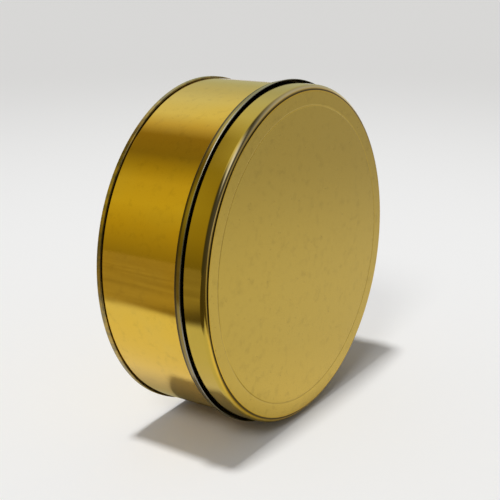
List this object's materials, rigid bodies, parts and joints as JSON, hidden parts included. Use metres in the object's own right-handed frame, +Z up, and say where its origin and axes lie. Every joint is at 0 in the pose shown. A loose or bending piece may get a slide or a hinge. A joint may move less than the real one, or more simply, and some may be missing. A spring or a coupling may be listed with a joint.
{
  "type": "round tin",
  "caption": "Shut round sheet-metal tin with a slip-on lid, gold lacquered and plain, lying on its side on its rims; it keeps biscuits or other dry food.",
  "frame": {"origin": "on the ground plane, under the middle of the tin's box, where it lies on its rims", "axes": "+Z up; the tin lies on its side with its axis along Y, the lid towards -Y and the base towards +Y; the axis rises 2 degrees towards the lid, because the lip of the lid's hem stands out further than the base seam"},
  "size_m": [0.1955, 0.0758, 0.1953],
  "materials": {
    "gold_wall": "bright tinplate under a clear gold lacquer, glossy, with mirror-like streaks along its rolling grain",
    "gold_base": "the same gold-lacquered tinplate, satin in the middle, with a duller bare edge on the seam",
    "gold_lid": "gold-lacquered tinplate, satin on the flat panel, glossy on shoulder and skirt, bare grey tin on the lip of the hem"
  },
  "bodies": {
    "root": {"body": "gold_wall", "base_end": "gold_base", "lid": "gold_lid"}
  },
  "joints": []
}
